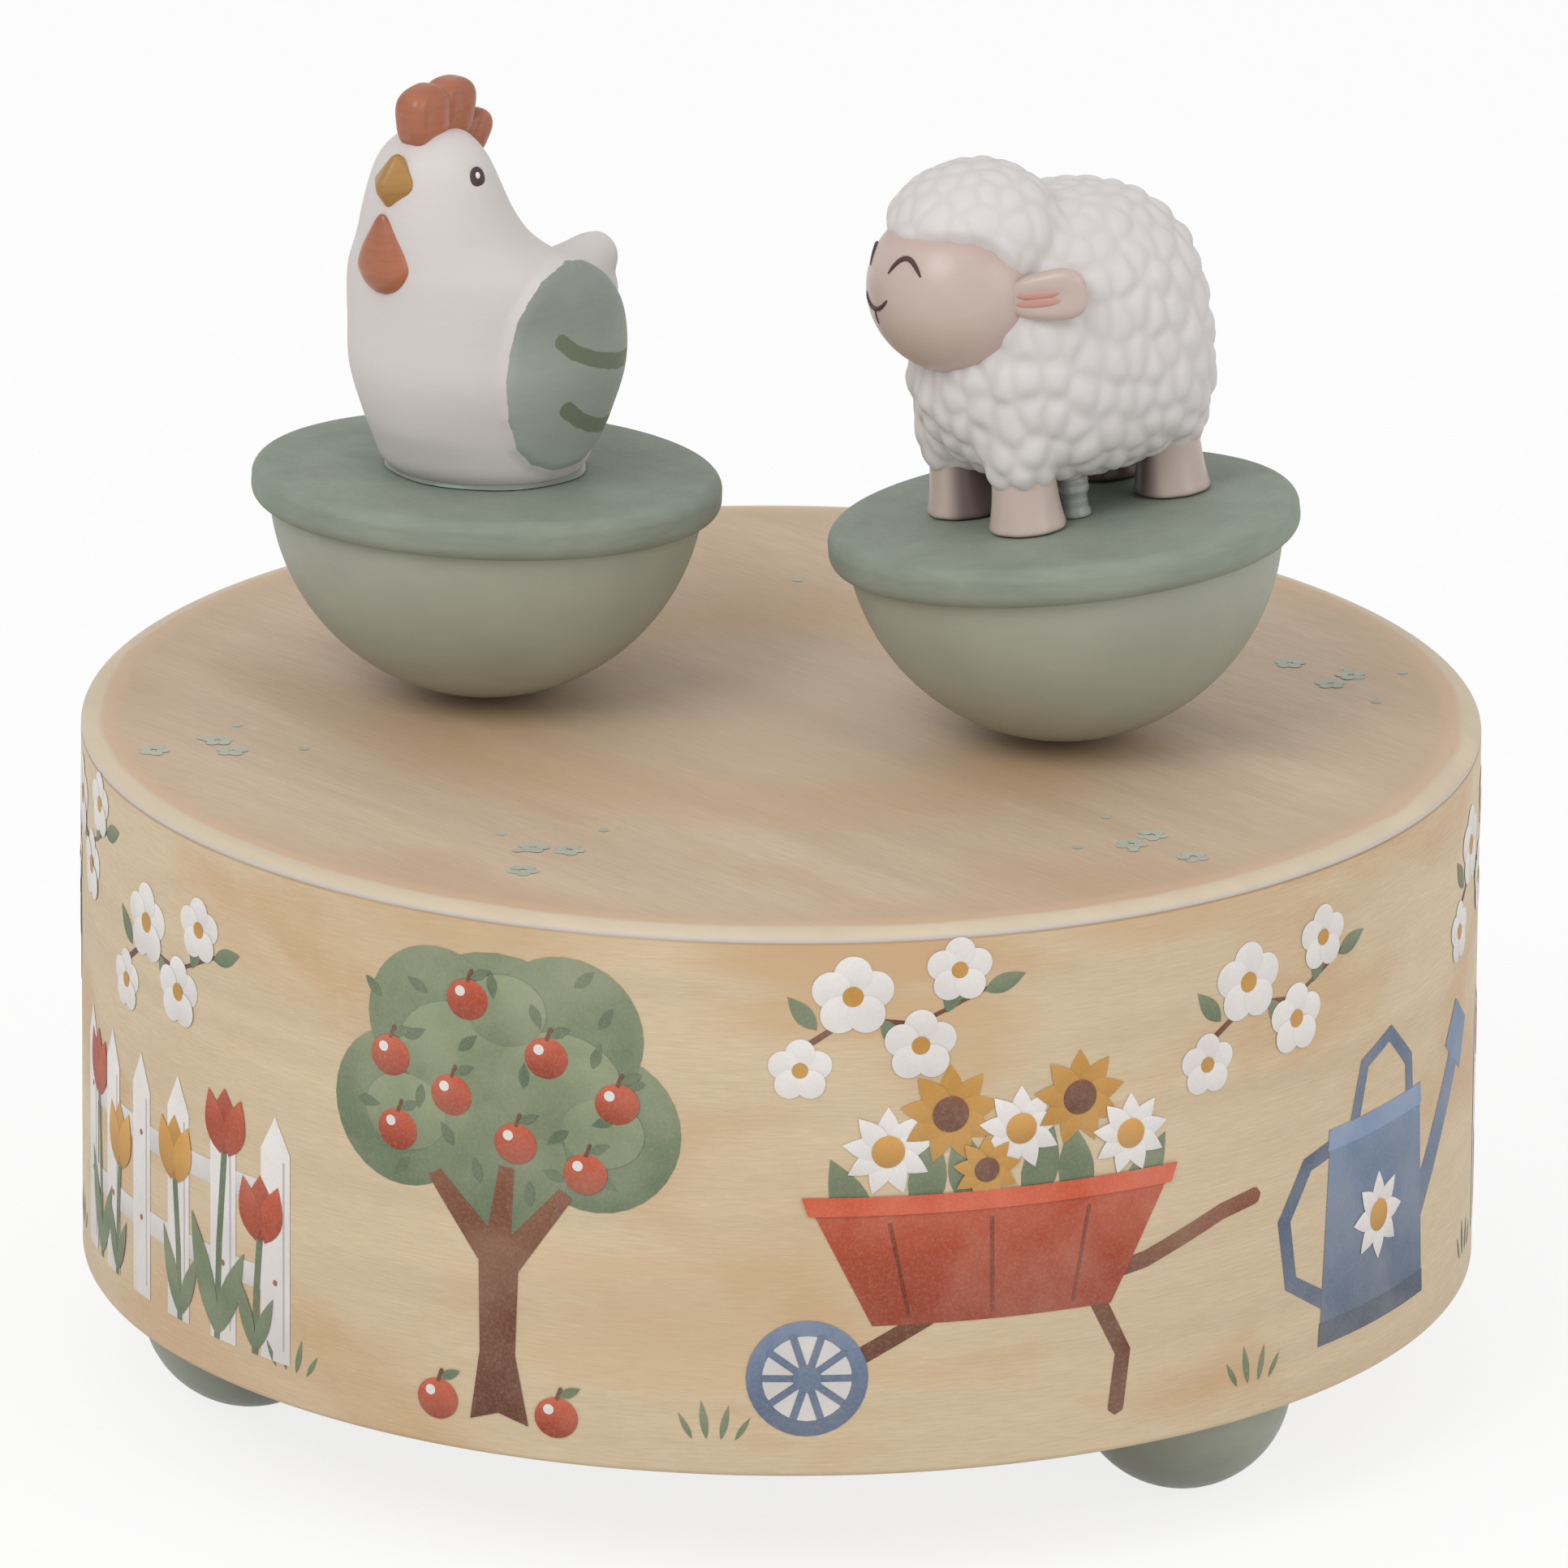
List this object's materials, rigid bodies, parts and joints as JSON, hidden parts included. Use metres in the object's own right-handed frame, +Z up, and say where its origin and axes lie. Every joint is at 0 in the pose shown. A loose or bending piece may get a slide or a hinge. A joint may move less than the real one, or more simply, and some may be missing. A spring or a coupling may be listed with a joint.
{
  "type": "music box",
  "caption": "Round wooden wind-up music box on ball feet; a hen and a sheep stand on magnetic tumbler bowls that circle and rock on its top as the movement plays.",
  "frame": {"origin": "on the ground between the feet, under the drum's axis", "axes": "+Z up along the drum's axis, -Y towards the viewer of the picture, +X to that viewer's right"},
  "size_m": [0.11, 0.11, 0.1051],
  "materials": {
    "side_wood": "satin sealed veneer",
    "top_wood": "satin sealed veneer with a pale rounded edge",
    "board_wood": "bare plywood",
    "foot_paint": "sage-green satin paint on wood",
    "bowl_paint": "light sage-green satin paint on wood",
    "lid_paint": "sage-green matt paint on wood",
    "hen_paint": "hand-painted off-white resin",
    "sheep_paint": "hand-painted off-white resin",
    "clear_glue": "clear hardened glue",
    "steel": "bright zinc-plated",
    "comb_steel": "ground steel",
    "weight_steel": "turned steel",
    "brass": "bright brass",
    "magnet": "nickel plated"
  },
  "bodies": {
    "case": {"side_wall": "side_wood", "top_board": "top_wood", "bottom_board": "board_wood", "foot_1": "foot_paint", "foot_2": "foot_paint", "foot_3": "foot_paint", "foot_screw_1": "steel", "foot_screw_2": "steel", "foot_screw_3": "steel", "board_screw_1": "steel", "board_screw_2": "steel", "board_screw_3": "steel", "bedplate": "steel", "movement_screw_1": "steel", "movement_screw_2": "steel", "movement_screw_3": "steel", "spring_barrel": "brass", "mainspring": "steel", "inner_bracket": "steel", "outer_bracket": "steel", "bracket_screw_1": "steel", "bracket_screw_2": "steel", "comb": "comb_steel", "comb_base": "brass", "comb_screw_1": "steel", "comb_screw_2": "steel", "comb_base_screw_1": "steel", "comb_base_screw_2": "steel", "governor_frame": "brass"},
    "drive": {"arbor": "steel", "crown_wheel": "brass", "winding_key": "brass", "rotor_arm": "brass", "rotor_magnet_hen": "magnet", "rotor_magnet_sheep": "magnet"},
    "cylinder": {"cylinder_shaft": "steel", "cylinder_pinion": "brass", "cylinder_wheel": "brass", "pin_cylinder": "brass"},
    "governor": {"governor_shaft": "steel", "governor_pinion": "brass", "worm_wheel": "brass"},
    "worm": {"worm_shaft": "steel", "fan": "brass"},
    "hen_carrier": {"hen_magnet": "magnet"},
    "hen_base": {"hen_bowl": "bowl_paint", "hen_weight": "weight_steel"},
    "hen_top": {"hen_lid": "lid_paint", "hen_figure": "hen_paint"},
    "sheep_carrier": {"sheep_magnet": "magnet"},
    "sheep_base": {"sheep_bowl": "bowl_paint", "sheep_weight": "weight_steel"},
    "sheep_top": {"sheep_lid": "lid_paint", "sheep_figure": "sheep_paint", "glue_peg": "clear_glue"}
  },
  "joints": [
    {"name": "drive_turn", "type": "hinge", "parent": "case", "child": "drive", "pos_m": [0, 0, 0], "axis": [0, 0, 1], "continuous": true},
    {"name": "cylinder_turn", "type": "hinge", "parent": "case", "child": "cylinder", "pos_m": [0, 0, 0.02745], "axis": [1, 0, 0], "continuous": true},
    {"name": "governor_turn", "type": "hinge", "parent": "case", "child": "governor", "pos_m": [0, 0.00842, 0.02205], "axis": [1, 0, 0], "continuous": true},
    {"name": "worm_turn", "type": "hinge", "parent": "case", "child": "worm", "pos_m": [0.0378, 0.01462, 0], "axis": [0, 0, 1], "continuous": true},
    {"name": "hen_lift", "type": "slide", "parent": "drive", "child": "hen_carrier", "axis": [0, 0, 1], "range_m": [0, 0.05]},
    {"name": "hen_rock", "type": "hinge", "parent": "hen_carrier", "child": "hen_base", "pos_m": [-0.02325, 0.00462, 0.0706], "axis": [-0.8213, 0.5706, 0], "range_deg": [-18.5, 11.5], "stiffness_Nm_per_rad": 0.02},
    {"name": "hen_turn", "type": "hinge", "parent": "hen_base", "child": "hen_top", "pos_m": [-0.02325, 0.00462, 0.0706], "axis": [0.0345, 0.0497, 0.9982], "continuous": true},
    {"name": "sheep_lift", "type": "slide", "parent": "drive", "child": "sheep_carrier", "axis": [0, 0, 1], "range_m": [0, 0.05]},
    {"name": "sheep_rock", "type": "hinge", "parent": "sheep_carrier", "child": "sheep_base", "pos_m": [0.0219, -0.00537, 0.0706], "axis": [-0.3947, -0.9188, 0], "range_deg": [-21.2, 8.8], "stiffness_Nm_per_rad": 0.02},
    {"name": "sheep_turn", "type": "hinge", "parent": "sheep_base", "child": "sheep_top", "pos_m": [0.0219, -0.00537, 0.0706], "axis": [-0.0989, 0.0425, 0.9942], "continuous": true}
  ],
  "couplings": [
    {"joint": "cylinder_turn", "follows": "drive_turn", "ratio": 3},
    {"joint": "governor_turn", "follows": "drive_turn", "ratio": -9},
    {"joint": "worm_turn", "follows": "drive_turn", "ratio": 108}
  ]
}
